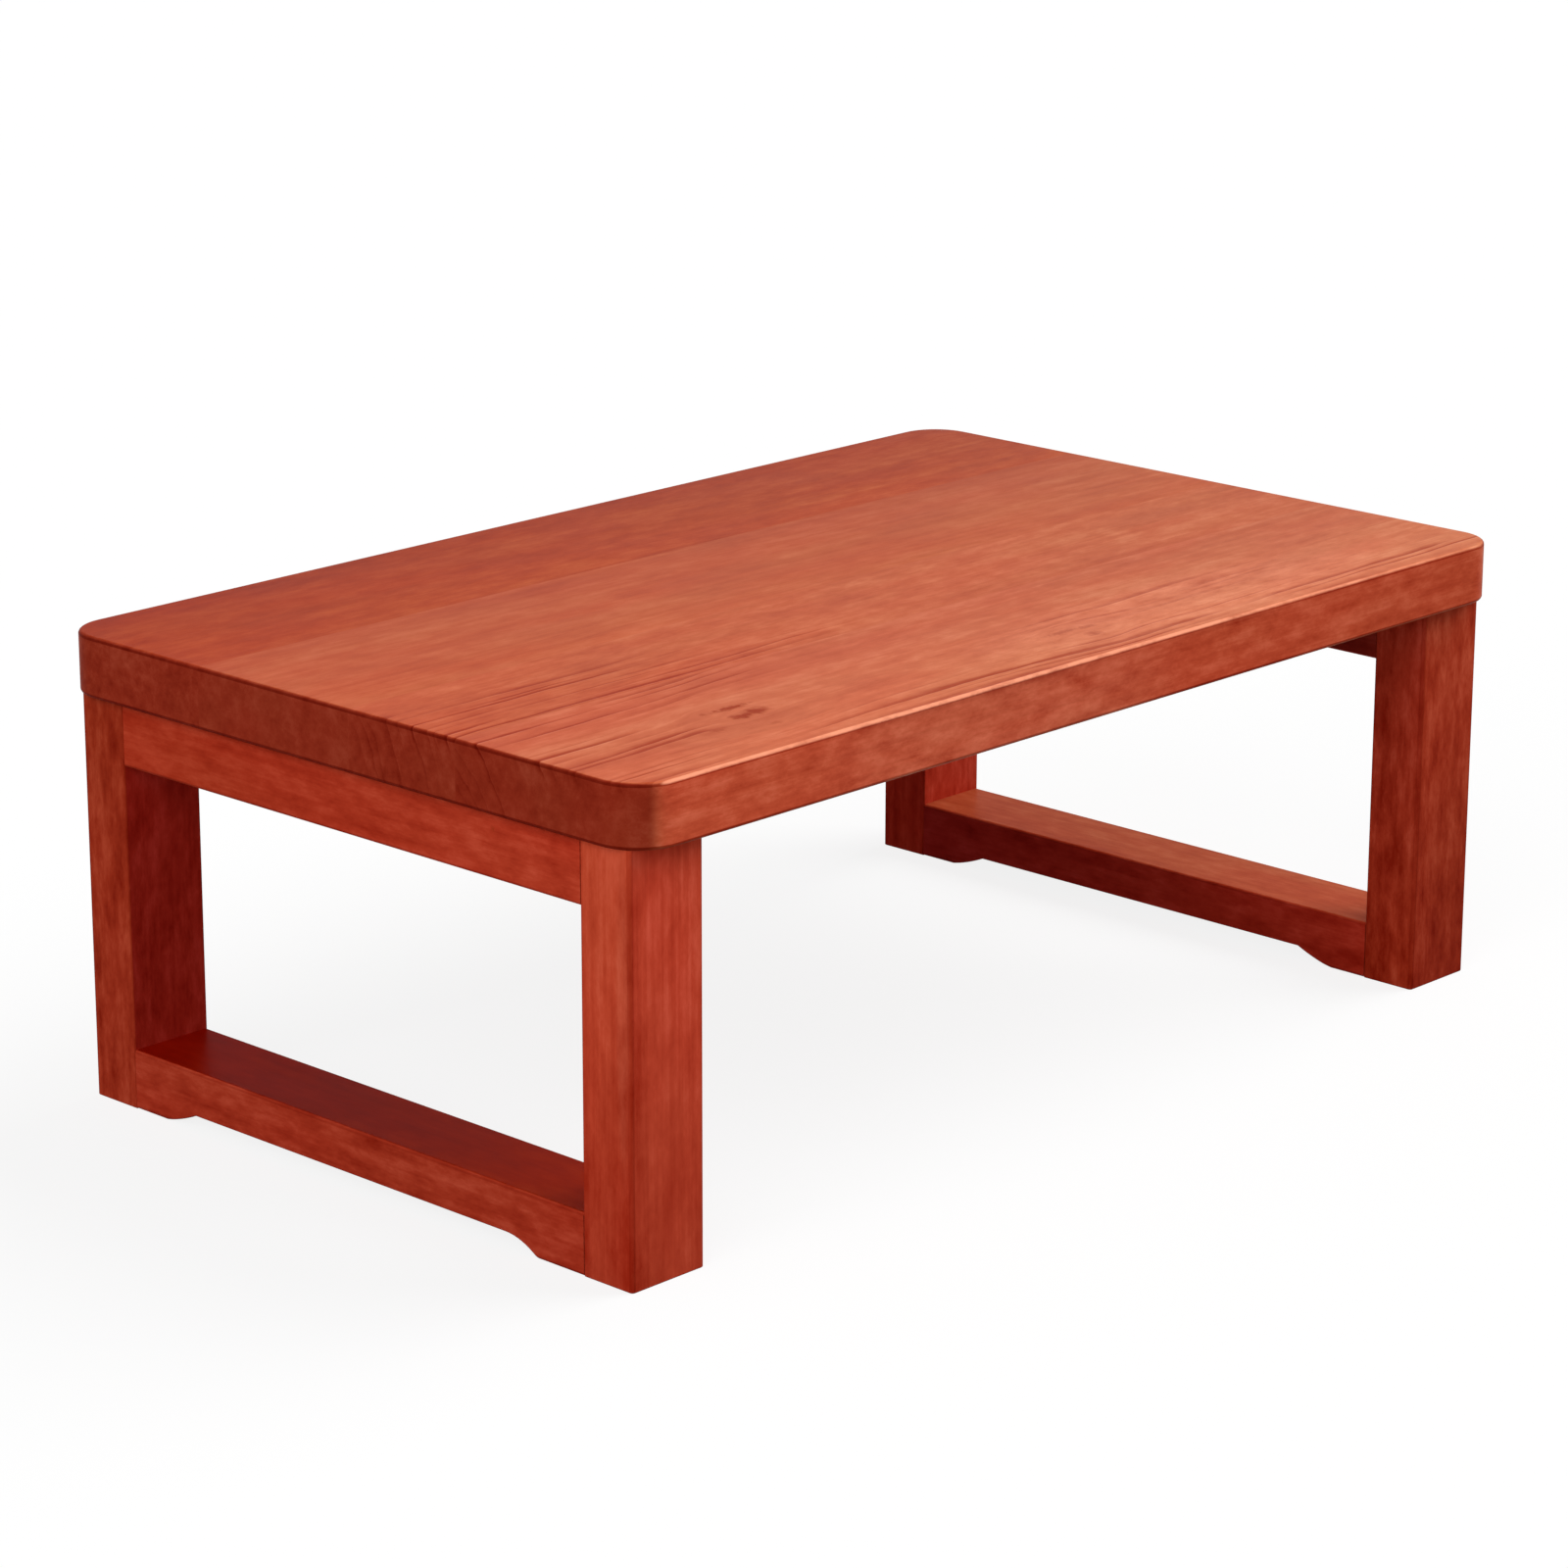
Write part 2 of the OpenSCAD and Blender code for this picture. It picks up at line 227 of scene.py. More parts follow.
RAIL_TIMBER = {
    "left_upper_rail": Timber(
        "Y", (-0.300, 0, 0.330), ring=0.0060, run_out=0.8, bands=0.4, mottle=0.7, shift=3.4,
        stain=Stain((1.22, 1.24, 1.16), (0.92, 0.78, 0.59)),
        knots=(Knot((-0.394, -0.128, 0.251), "X", 0.0014, 0.5),)),
    "right_upper_rail": Timber(
        "Y", (0.410, 0, 0.150), ring=0.0058, run_out=-0.6, bands=0.4, shift=6.1,
        stain=even_stain(1.00, 1.00, 1.00),
        # Painted shade on the inner face under the top
        faces={"-X": even_stain(0.50, 0.40, 0.50)}),
    "left_lower_rail": Timber(
        "Y", (-0.320, 0, -0.060), ring=0.0062, run_out=-0.5, bands=0.4, shift=10.3,
        stain=even_stain(1.00, 0.98, 0.90),
        # Painted shade on the rail's top, which the table top shades, and on its underside
        faces={"Z": Stain((0.70, 0.44, 0.15), (0.64, 0.11, 0.02))}),
    "right_lower_rail": Timber(
        "Y", (0.300, 0, 0.110), ring=0.0060, run_out=0.7, bands=0.4, shift=12.8,
        stain=even_stain(1.00, 0.98, 0.90),
        # Painted shade on the inner face, and painted sheen on the rail's top
        faces={"-X": Stain((0.90, 0.62, 0.62), (0.62, 0.30, 0.52)),
               "Z": Stain((1.00, 1.95, 1.65), (0.83, 1.50, 1.25))}),
}


# Settings that a user would change

def colour_prop(name, description, default):
    return FloatVectorProperty(
        name=name, description=description, default=default, subtype="COLOR", size=3, min=0, max=1)


def length_prop(name, description, default, **limits):
    return FloatProperty(
        name=name, description=description, default=default, unit="LENGTH", precision=5, **limits)


def share_prop(name, description, default):
    return FloatProperty(
        name=name, description=description, default=default, subtype="FACTOR", min=0, max=1)


def angle_prop(name, description, degrees):
    return FloatProperty(
        name=name, description=description, default=math.radians(degrees), subtype="ANGLE")


class FinishSettings(PropertyGroup):
    """Stain, lacquer and sanded edges of the wood, with its painted highlights and painted shade."""

    stain_deep: colour_prop("Deep stain", "Stain where the wood drank most of it", (0.31, 0.015, 0.005))
    stain_middle: colour_prop("Stain", "Stain on even wood", (0.49, 0.045, 0.020))
    stain_light: colour_prop("Light stain", "Stain where the wood shows through", (0.67, 0.095, 0.052))
    knot_stain: colour_prop(
        "Stain on knots", "Stain on the dark, resinous wood of knots", (0.33, 0.034, 0.006))
    bare_pine: colour_prop(
        "Bare pine", "Wood inside the joints, which gets no stain", (0.62, 0.43, 0.24))
    beech: colour_prop("Beech", "Wood of the dowels", (0.58, 0.40, 0.24))
    end_grain: colour_prop(
        "End grain", "What is left of the stain's colour on end grain, which drinks more",
        (0.66, 0.70, 0.62))
    # Colour of a painted highlight and painted sheen, on the top's front arris, its front right and beside a
    # post's corner
    painted_highlight_colour: colour_prop(
        "Rubbed stain", "Colour where hands rub the stain thin", (0.92, 0.33, 0.19))
    # Arrises take gathered stain and painted shade
    arris_stain_and_shade: colour_prop(
        "Stain on arrises", "What is left of the colour along arrises, where stain gathers",
        (0.52, 0.24, 0.17))
    ring_relief: length_prop(
        "Ring relief", "Height of the growth rings under the lacquer", 0.00010, min=0, max=0.001)
    lacquer_roughness: share_prop("Lacquer roughness", "Roughness of the satin lacquer", 0.38)
    top_shine: share_prop(
        "Top shine", "Specular level of the top, which has one more coat of lacquer", 0.010)
    frame_shine: share_prop(
        "Frame shine", "Specular level of the thin lacquer on the posts and rails", 0.008)
    softened_edge: length_prop(
        "Softened edge", "Width sanded off the arrises of the feet, the reliefs and the bores' mouths",
        0.0007, min=0.0001, max=0.0012)


class HardwareSettings(PropertyGroup):
    """Sizes and colours of the dowels, bolts, washers and inserts."""

    metric_pitch: length_prop(
        "Bolt pitch", "Pitch of the bolts' and inserts' metric thread", 0.00125, min=0.001, max=0.002)
    barb_pitch: length_prop(
        "Barb pitch", "From one ring of barbs on the inserts to the next", 0.004, min=0.003, max=0.005)
    thread_depth: length_prop(
        "Bolt thread depth", "Depth of the metric thread", 0.00062, min=0.0003, max=0.0008)
    barb_height: length_prop(
        "Barb height", "How far the barbs stand out", 0.0008, min=0.0004, max=0.0009)
    socket_size: length_prop(
        "Bolt socket", "Hexagon socket of the bolts, across flats", 0.005, min=0.003, max=0.006)
    flutes: IntProperty(
        name="Flutes", description="Glue grooves round each dowel", min=8, max=24, default=16)
    flute_depth: length_prop(
        "Flute depth", "Depth of the dowels' glue grooves", 0.0004, min=0.0001, max=0.0006)
    bolt_colour: colour_prop("Bolt", "Black zinc of the bolts", (0.045, 0.045, 0.050))
    washer_colour: colour_prop("Washer", "Bright zinc of the washers", (0.62, 0.63, 0.65))
    insert_colour: colour_prop("Insert", "Zinc alloy of the inserts", (0.55, 0.53, 0.46))


class StudioSettings(PropertyGroup):
    """Camera, lamps and floor."""

    lens: FloatProperty(
        name="Lens", description="Focal length on a 36 mm sensor, in millimetres",
        min=50, max=200, default=113.33)
    azimuth: angle_prop("Azimuth", "Where the camera looks from, 0 is the front", -46.598)
    elevation: angle_prop("Elevation", "Height of the camera above the horizon", 16.525)
    roll: angle_prop("Roll", "Turn of the camera about its view", 0.120)
    distance: length_prop("Distance", "From the camera to the table's middle", 3.1631, min=1, max=10)
    aim_right: length_prop("Aim right", "Aim beside the table's middle", -0.01400)
    aim_up: length_prop("Aim up", "Aim above the table's middle", 0.01580)
    key_strength: FloatProperty(
        name="Key", description="Strength of the key lamp, on the right", min=0, max=10, default=2.67)
    key_azimuth: angle_prop(
        "Key azimuth", "Direction of the key lamp, 0 is the front and 90 the right", 67)
    key_elevation: angle_prop("Key elevation", "Height of the key lamp", 42)
    fill_strength: FloatProperty(
        name="Fill", description="Strength of the fill lamp, on the left", min=0, max=10, default=1.43)
    fill_azimuth: angle_prop(
        "Fill azimuth", "Direction of the fill lamp, 0 is the front and 90 the right", -70)
    fill_elevation: angle_prop("Fill elevation", "Height of the fill lamp", 30)
    lamp_width: angle_prop("Lamp width", "How wide both lamps look from the table", 50)
    ambient: FloatProperty(
        name="Ambient", description="Light from all round", min=0, max=2, default=0.27)
    floor_colour: colour_prop("Floor", "Colour of the floor as the camera sees it", (0.96, 0.96, 0.96))
    floor_bounce: share_prop("Floor bounce", "Share of the light that the floor sends back up", 0.30)
    floor_glow: share_prop("Floor white", "How far the floor goes to plain white for the camera", 0.85)


# Materials

class Wire:
    """The output of a shader node. Arithmetic on it adds Math nodes to its finish."""

    def __init__(self, finish, socket):
        self.finish = finish
        self.socket = socket

    def math(self, operation, *terms):
        return self.finish.node("ShaderNodeMath", {"operation": operation}, dict(enumerate(terms)))

    def __add__(self, other):
        return self.math("ADD", self, other)

    __radd__ = __add__

    def __sub__(self, other):
        return self.math("SUBTRACT", self, other)

    def __rsub__(self, other):
        return self.math("SUBTRACT", other, self)

    def __mul__(self, other):
        return self.math("MULTIPLY", self, other)

    __rmul__ = __mul__

    def __truediv__(self, other):
        return self.math("DIVIDE", self, other)

    def __rtruediv__(self, other):
        return self.math("DIVIDE", other, self)

    def __abs__(self):
        return self.math("ABSOLUTE", self)

    def fraction(self):
        return self.math("FRACT", self)

    def exponential(self):
        return self.math("EXPONENT", self)

    def rise(self, low, high):
        """0 below low, 1 above high and smooth between them."""
        settings = {"interpolation_type": "SMOOTHSTEP"}
        return self.finish.node("ShaderNodeMapRange", settings, {0: self, 1: low, 2: high})


class Finish:
    """The nodes of a material or of the world. node adds any node, the rest are short names for some."""

    def __init__(self, owner):
        self.owner = owner
        owner.use_nodes = True
        self.tree = owner.node_tree
        self.tree.nodes.clear()

    @classmethod
    def of_material(cls, name):
        """A new material's finish, with place as the point of the surface."""
        finish = cls(bpy.data.materials.new(name))
        finish.place = finish.node("ShaderNodeTexCoord", output="Object")
        return finish

    def node(self, kind, settings=None, sockets=None, output=0):
        """Adds a node with its settings, then the values or links of its sockets."""
        made = self.tree.nodes.new(kind)
        for key, value in (settings or {}).items():
            if key == "stops":
                self.lay_stops(made.color_ramp, value)
            else:
                setattr(made, key, value)
        for key, value in (sockets or {}).items():
            if isinstance(value, Wire):
                self.tree.links.new(value.socket, made.inputs[key])
            else:
                made.inputs[key].default_value = value
        return Wire(self, made.outputs[output]) if made.outputs else None

    @staticmethod
    def lay_stops(ramp, stops):
        """Sets a ramp's stops from (position, value or colour) pairs."""
        while len(ramp.elements) < len(stops):
            ramp.elements.new(1)
        for element, (position, colour) in zip(ramp.elements, stops):
            shade = colour if hasattr(colour, "__len__") else (colour,) * 3
            element.position = position
            element.color = (*shade, 1)

    def vector(self, operation, first, second=None, output=0):
        sockets = {0: first} if second is None else {0: first, 1: second}
        return self.node("ShaderNodeVectorMath", {"operation": operation}, sockets, output)

    def split(self, vector):
        made = self.node("ShaderNodeSeparateXYZ", sockets={0: vector}).socket.node
        return [Wire(self, output) for output in made.outputs]

    def join(self, x, y, z):
        return self.node("ShaderNodeCombineXYZ", sockets={0: x, 1: y, 2: z})

    def noise(self, vector, scales, detail=2.0, roughness=0.5):
        """Noise from 0 to 1 whose grains are 1 / scales long along each axis."""
        stretched = self.vector("MULTIPLY", vector, scales)
        sockets = {"Vector": stretched, "Scale": 1.0, "Detail": detail, "Roughness": roughness}
        return self.node("ShaderNodeTexNoise", sockets=sockets)

    def ramp(self, value, stops):
        return self.node("ShaderNodeValToRGB", {"stops": stops}, {0: value})

    def mix(self, factor, first, second, blend="MIX"):
        """Mixes two colours."""
        settings = {"data_type": "RGBA", "blend_type": blend}
        first, second = (v if isinstance(v, Wire) else (*v, 1) for v in (first, second))
        return self.node("ShaderNodeMix", settings, {0: factor, 6: first, 7: second}, output=2)

    def attribute(self, name):
        return self.node("ShaderNodeAttribute", {"attribute_name": name}, output="Fac")

    def bump(self, height, distance):
        return self.node("ShaderNodeBump", sockets={"Height": height, "Distance": distance})

    def shade(self, **sockets):
        """Ends the finish with a Principled shader. A socket's spaces are written as underscores."""
        sockets = {key.replace("_", " "): value for key, value in sockets.items()}
        return self.end(self.node("ShaderNodeBsdfPrincipled", sockets=sockets))

    def end(self, surface, output="ShaderNodeOutputMaterial"):
        """Links the surface to the output node and gives the material or the world."""
        self.node(output, sockets={"Surface": surface})
        return self.owner


# How a log along X is turned to lie along a member's grain
LOG_TURN = {"X": (0, 0, 0), "Y": (0, 0, math.pi / 2), "Z": (0, -math.pi / 2, 0)}


def bend_round_knots(finish, knots):
    """The pattern's place, with the fibres bent round each knot, and the mask of the knots' dark marks."""
    place, marks = finish.place, 0.0
    for knot in knots:
        keep = [1 / knot.drawn_out, 1.0, 1.0]
        keep[AXES[knot.through]] = 0.0
        offset = finish.vector("SUBTRACT", finish.place, knot.centre)
        offset = finish.vector("MULTIPLY", offset, keep)
        distance = finish.vector("LENGTH", offset, output="Value")
        reach = 3.5 * knot.radius
        nearness = (distance * distance * (-0.5 / reach ** 2)).exponential()
        shove = finish.vector("MULTIPLY", offset, finish.join(nearness, nearness, nearness))
        place = finish.vector("SUBTRACT", place, finish.vector("MULTIPLY", shove, (0.4,) * 3))
        ragged = finish.noise(finish.place, (0.9 / knot.radius,) * 3, detail=3.0, roughness=0.6)
        distance = distance + (ragged - 0.5) * (2.6 * knot.radius)
        marks = marks + (1 - distance.rise(0.1 * knot.radius, 1.7 * knot.radius)) * knot.strength
    return place, marks


def over(finish, patches):
    """The strength of the patches at each point, from their middles out to nothing past their reach."""
    strength = 0.0
    for patch in patches:
        offset = finish.vector("SUBTRACT", finish.place, patch.centre)
        offset = finish.vector("DIVIDE", offset, patch.reach)
        distance = finish.vector("LENGTH", offset, output="Value")
        strength = strength + (1 - distance.rise(0.45, 1.15)) * patch.strength
    return strength


def growth_rings(finish, log, timber):
    """The dark late wood of each ring and the pale line past it, from the place in the log."""
    along = finish.split(log)[0]
    wander = finish.node("ShaderNodeTexNoise", {"noise_dimensions": "1D"},
                         {"W": along * 2.6 + timber.shift, "Scale": 1.0, "Detail": 1.0},
                         output="Color")
    wander = finish.vector("SUBTRACT", wander, (0.5, 0.5, 0.5))
    wander = finish.vector("MULTIPLY", wander, (0.0, 0.022, 0.022))
    section = finish.vector("MULTIPLY", finish.vector("ADD", log, wander), (0.0, 1.0, 1.0))
    wave = finish.noise(log, (5.0, 30.0, 30.0))
    ripple = finish.noise(log, (26.0, 150.0, 150.0))
    radius = finish.vector("LENGTH", section, output="Value")
    radius = radius + (wave - 0.5) * 0.010 + (ripple - 0.5) * 0.0024
    count = radius / timber.ring
    uneven = finish.node("ShaderNodeTexNoise", {"noise_dimensions": "1D"},
                         {"W": count * 0.45 + timber.shift, "Scale": 1.0, "Detail": 2.0})
    count = count + uneven * 1.5
    phase = count.fraction()
    late = finish.ramp(phase, ((0.0, 0.0), (0.42, 0.10), (0.70, 0.75), (0.86, 1.0), (0.94, 0.0)))
    crest = finish.ramp(phase, ((0.86, 0.0), (0.95, 1.0), (1.0, 0.2)))

    # No two rings are equally dark, and each comes and goes along the log
    own = finish.noise(finish.join(along * 7.0, count - phase, timber.shift), (1.0, 0.73, 1.0), detail=1.0)
    share = own.rise(0.30, 0.62)
    return late * share, crest * share


def stain_and_painted_light(finish, timber, box, facing, end_grain):
    """What the stain's colour is multiplied by, from a member's own stain and those of its faces, with the
    painted shade and painted sheen that some of them hold.
    """
    low, high = box
    axis = AXES[timber.grain]
    place = finish.split(finish.place)
    along = (place[axis] - low[axis]) / (high[axis] - low[axis])
    colour = finish.mix(along, timber.stain.low, timber.stain.high)
    if timber.rear_stain:
        rear = finish.mix(along, timber.rear_stain.low, timber.rear_stain.high)
        colour = finish.mix((place[1] - low.y) / (high.y - low.y), colour, rear)
    for across, stain in {timber.grain: even_stain(*end_grain), **timber.faces}.items():
        colour = finish.mix(facing[across], colour, finish.mix(along, stain.low, stain.high))
    return colour


def pine(name, timber, box, shine, settings):
    """Pine with a translucent red stain under satin lacquer, as a solid pattern of one log, with painted
    shade, sheen and highlights.
    """
    finish = Finish.of_material(name)
    place, marks = bend_round_knots(finish, timber.knots)
    turn = Vector(LOG_TURN[timber.grain])
    turn[2 if timber.grain != "Z" else 0] += math.radians(timber.run_out)
    sockets = {"Vector": place, "Location": timber.pith, "Rotation": turn}
    log = finish.node("ShaderNodeMapping", {"vector_type": "TEXTURE"}, sockets)
    log = finish.vector("ADD", log, (timber.shift, 0, 0))
    late, crest = growth_rings(finish, log, timber)

    # Bands, streaks, fibres and blotches of stain
    band = finish.noise(log, (1.0, 30.0, 30.0), roughness=0.45)
    streak = finish.noise(log, (4.0, 170.0, 170.0), detail=3.0, roughness=0.55)
    fibre = finish.noise(log, (14.0, 750.0, 750.0), roughness=0.6)
    blotch = finish.noise(log, (9.0, 19.0, 19.0), detail=3.0)
    mottle = finish.noise(log, (34.0, 85.0, 85.0), detail=4.0, roughness=0.70)
    hue = finish.noise(log, (6.0, 22.0, 22.0))

    normal = finish.node("ShaderNodeTexCoord", output="Normal")
    parts = dict(zip("XYZ", finish.split(normal)))
    facing = {}
    for side in {timber.grain: 0, "Z": 0, **timber.faces}:
        # End grain shows all round a corner, but the other faces only where they are flat
        limits = (0.20, 0.60) if side == timber.grain else (0.84, 0.99)
        facing[side] = (0 - parts[side[1]] if side.startswith("-") else abs(parts[side])).rise(*limits)
    end = facing[timber.grain]
    fade = finish.noise(finish.place, (5.0, 24.0, 24.0), detail=1.0)
    figure = timber.figure * (fade.rise(0.30, 0.75) + 0.4) + over(finish, timber.patches) * 0.55
    figure = figure * (1 - end * 0.3)
    uneven = (2 - facing["Z"]) * (1 - end * 0.3)

    # 0 where the wood drank the most stain and 1 where it drank the least
    paleness = (
        0.5
        + (band - 0.5) * timber.bands
        + (blotch - 0.5) * 0.4
        + (mottle - 0.5) * uneven * timber.mottle
        + (streak - 0.5) * uneven * 0.30
        + (fibre - 0.5) * 0.22
        - figure * late * 0.85
        + figure * crest * 0.28
    )
    # Painted shade: the posts grow darker towards the floor
    if timber.painted_foot_shade:
        height = finish.split(finish.place)[2]
        paleness = paleness - (1 - height.rise(0.0, 0.20)) * timber.painted_foot_shade
    stains = (settings.stain_deep, settings.stain_middle, settings.stain_light)
    colour = finish.ramp(paleness, tuple(zip((0.0, 0.5, 1.0), stains)))
    painted_light_and_stain = stain_and_painted_light(finish, timber, box, facing, settings.end_grain)
    clouds = finish.mix(hue.rise(0.3, 0.7), (1.0, 0.93, 0.92), (1.0, 1.07, 1.06))
    colour = finish.mix(1.0, colour, finish.mix(1.0, painted_light_and_stain, clouds, "MULTIPLY"), "MULTIPLY")
    if timber.knots:
        colour = finish.mix(marks, colour, settings.knot_stain)

    # Arrises that don't look up are darkened: gathered stain, and painted shade where they turn from the
    # light
    not_up = 1 - parts["Z"].rise(0.45, 0.85)
    arris = finish.attribute("arris") * not_up * (blotch * 0.8 + 0.4) * timber.arris
    gathered_and_shaded = finish.mix(1.0, colour, settings.arris_stain_and_shade, "MULTIPLY")
    colour = finish.mix(arris, colour, gathered_and_shaded)
    # Painted highlights and painted sheen: a paler colour over their patches
    if timber.painted_highlights:
        painted_highlights = over(finish, timber.painted_highlights) * (mottle * 2.6 - 0.5)
        colour = finish.mix(painted_highlights, colour, settings.painted_highlight_colour)
    bare = finish.attribute("bare")
    raw = finish.mix(late * 0.30, settings.bare_pine, [0.6 * part for part in settings.bare_pine])
    colour = finish.mix(bare, colour, raw)

    lacquer = settings.lacquer_roughness + (fibre - 0.5) * 0.10 + (blotch - 0.5) * 0.12
    roughness = lacquer + bare * 0.35 + end * 0.08
    height = (1 - figure * late) + fibre * 0.20
    return finish.shade(
        Base_Color=colour,
        Roughness=roughness,
        Specular_IOR_Level=shine,
        Normal=finish.bump(height, settings.ring_relief),
    )


def beech(name, colour):
    """Bare beech, whose fibres run along Y, with its short dark flecks."""
    finish = Finish.of_material(name)
    fibre = finish.noise(finish.place, (900.0, 30.0, 900.0))
    fleck = finish.noise(finish.place, (1500.0, 260.0, 1500.0), detail=1.0).rise(0.64, 0.74)
    dark = [0.55 * part for part in colour]
    light = [min(1.0, 1.18 * part) for part in colour]
    surface = finish.mix(fleck * 0.6, finish.ramp(fibre, ((0.3, dark), (0.5, colour), (0.75, light))), dark)
    return finish.shade(
        Base_Color=surface,
        Roughness=0.62 + fibre * 0.15,
        Specular_IOR_Level=0.3,
        Normal=finish.bump(fibre, 0.00006),
    )


def plated(name, colour, roughness, scuff, metal=1.0):
    """Plated steel or zinc with fine turning marks and a scuffed, uneven film."""
    finish = Finish.of_material(name)
    film = finish.noise(finish.place, (160.0, 160.0, 160.0), detail=4.0, roughness=0.6)
    speck = finish.noise(finish.place, (2400.0, 2400.0, 2400.0))
    turned = finish.noise(finish.place, (300.0, 300.0, 5200.0), detail=1.0)
    worn = finish.attribute("arris") * film.rise(0.4, 0.6) * scuff
    dark = [0.72 * part for part in colour]
    bright = [min(1.0, 1.25 * part + 0.10) for part in colour]
    surface = finish.mix(worn, finish.ramp(film, ((0.3, dark), (0.6, colour))), bright)
    return finish.shade(
        Base_Color=surface,
        Metallic=metal,
        Roughness=roughness + (film - 0.5) * 0.20 + (speck - 0.5) * 0.10,
        Normal=finish.bump(turned + speck * 0.5, 0.00002),
    )


# Meshes

def mesh_data(name, mesh):
    """A bmesh as mesh data. The bmesh is freed."""
    data = bpy.data.meshes.new(name)
    mesh.to_mesh(data)
    mesh.free()
    return data


def put_in_scene(name, data):
    """A new object in the scene, at the origin."""
    made = bpy.data.objects.new(name, data)
    bpy.context.scene.collection.objects.link(made)
    return made


def merged_copy(node):
    """The mesh of a CAD node as a bmesh of whole faces, each flat face in one piece."""
    mesh = bmesh.new()
    mesh.from_mesh(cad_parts[node].data)
    bmesh.ops.remove_doubles(mesh, verts=mesh.verts, dist=WELD)
    bmesh.ops.dissolve_limit(mesh, angle_limit=math.radians(0.3), verts=mesh.verts, edges=mesh.edges)
    return mesh


def solids(node):
    """(lowest corner, highest corner) of each separate solid of a CAD node, in order along X, Y and Z."""
    mesh = merged_copy(node)
    unseen = set(mesh.verts)
    boxes = []
    while unseen:
        reached = [unseen.pop()]
        for vertex in reached:
            for edge in vertex.link_edges:
                other = edge.other_vert(vertex)
                if other in unseen:
                    unseen.discard(other)
                    reached.append(other)
        corners = [Vector(pick(vertex.co[i] for vertex in reached) for i in range(3)) for pick in (min, max)]
        boxes.append(corners)
    mesh.free()
    return sorted(boxes, key=lambda box: tuple(round(value, 4) for value in box[0]))


def soften(mesh, wanted, width):
    """Sands the sharp outer arrises that wanted accepts."""
    sharp = [
        edge for edge in mesh.edges
        if edge.is_manifold and edge.calc_face_angle_signed() > SHARP and wanted(edge)
    ]
    bmesh.ops.bevel(mesh, geom=sharp, offset=width, segments=3, profile=0.5, affect="EDGES",
                    material=-1, clamp_overlap=False)


def mark_arrises(mesh, widest):
    """Marks the faces of roundings, which are all narrower than widest."""
    layer = mesh.faces.layers.float.new("arris")
    for face in mesh.faces:
        longest = max(edge.calc_length() for edge in face.edges)
        face[layer] = float(face.calc_area() < widest * longest)


def mark_bare(mesh, is_bare):
    """Marks the faces inside joints and bores, which get no stain."""
    layer = mesh.faces.layers.float.new("bare")
    for face in mesh.faces:
        face[layer] = float(is_bare(face))


def finish_piece(name, mesh, nodes, material):
    """Makes the object of a piece from its bmesh, in place of its CAD nodes."""
    for edge in mesh.edges:
        edge.smooth = edge.is_manifold and abs(edge.calc_face_angle_signed()) < SMOOTH
    for face in mesh.faces:
        face.smooth = True
    piece = put_in_scene(name, mesh_data(name, mesh))
    piece.data.materials.append(material)
    piece.modifiers.new("even_normals", "WEIGHTED_NORMAL").keep_sharp = True
    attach(piece, BODY)
    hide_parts(*nodes)


def wooden_piece(node, timber, slot, is_bare, sanded=None):
    """A member of the table: its CAD form, its own timber and the arrises that sanded accepts softened."""
    settings = bpy.context.scene.low_table_finish
    shine = settings.top_shine if slot == "stained_top" else settings.frame_shine
    mesh = merged_copy(node)
    low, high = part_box(node)
    if sanded:
        soften(mesh, sanded, settings.softened_edge)
    for vertex in mesh.verts:
        vertex.co = [min(max(vertex.co[i], low[i]), high[i]) for i in range(3)]
    bmesh.ops.remove_doubles(mesh, verts=mesh.verts, dist=WELD)
    bmesh.ops.dissolve_degenerate(mesh, edges=mesh.edges, dist=WELD)
    mark_arrises(mesh, widest=0.6 * MM)
    mark_bare(mesh, is_bare)
    material = pine(node + "_pine", timber, (low, high), shine, settings)
    finish_piece(node + "_stained", mesh, [node], material)


def inside(face, low, high):
    """True if a face's middle lies well inside a box on every side."""
    middle = face.calc_center_median()
    return all(low[i] + INSIDE < middle[i] < high[i] - INSIDE for i in range(3))


def spin_round(mesh, geom, steps, climb=0.0):
    """Spins points and edges once round Z. A climb makes a screw of that pitch."""
    bmesh.ops.spin(mesh, geom=geom, cent=(0, 0, 0), axis=(0, 0, 1), dvec=(0, 0, climb / steps),
                   angle=math.tau, steps=steps, use_merge=not climb)
    bmesh.ops.remove_doubles(mesh, verts=mesh.verts, dist=TURNED_WELD)


def outline(mesh, profile, closed):
    """Points and edges of a profile of (radius, height) pairs, ready to be spun."""
    points = [mesh.verts.new((radius, 0, height)) for radius, height in profile]
    pairs = zip(points, points[1:] + points[:1] if closed else points[1:])
    return points + [mesh.edges.new(pair) for pair in pairs]


def turned_solid(profile, steps):
    """Spins a closed profile round Z into a solid."""
    mesh = bmesh.new()
    spin_round(mesh, outline(mesh, profile, closed=True), steps)
    bmesh.ops.recalc_face_normals(mesh, faces=mesh.faces)
    return mesh


def draw_out(mesh, edges, steps):
    """Extrudes a loop of edges through (rise, factor) steps: up by rise, then scaled about Z."""
    for rise, factor in steps:
        drawn = bmesh.ops.extrude_edge_only(mesh, edges=edges)["geom"]
        loop = [item for item in drawn if isinstance(item, bmesh.types.BMVert)]
        edges = [item for item in drawn if isinstance(item, bmesh.types.BMEdge)
                 and all(vertex in loop for vertex in item.verts)]
        bmesh.ops.translate(mesh, verts=loop, vec=(0, 0, rise))
        bmesh.ops.scale(mesh, verts=loop, vec=(factor, factor, 1))
    return edges


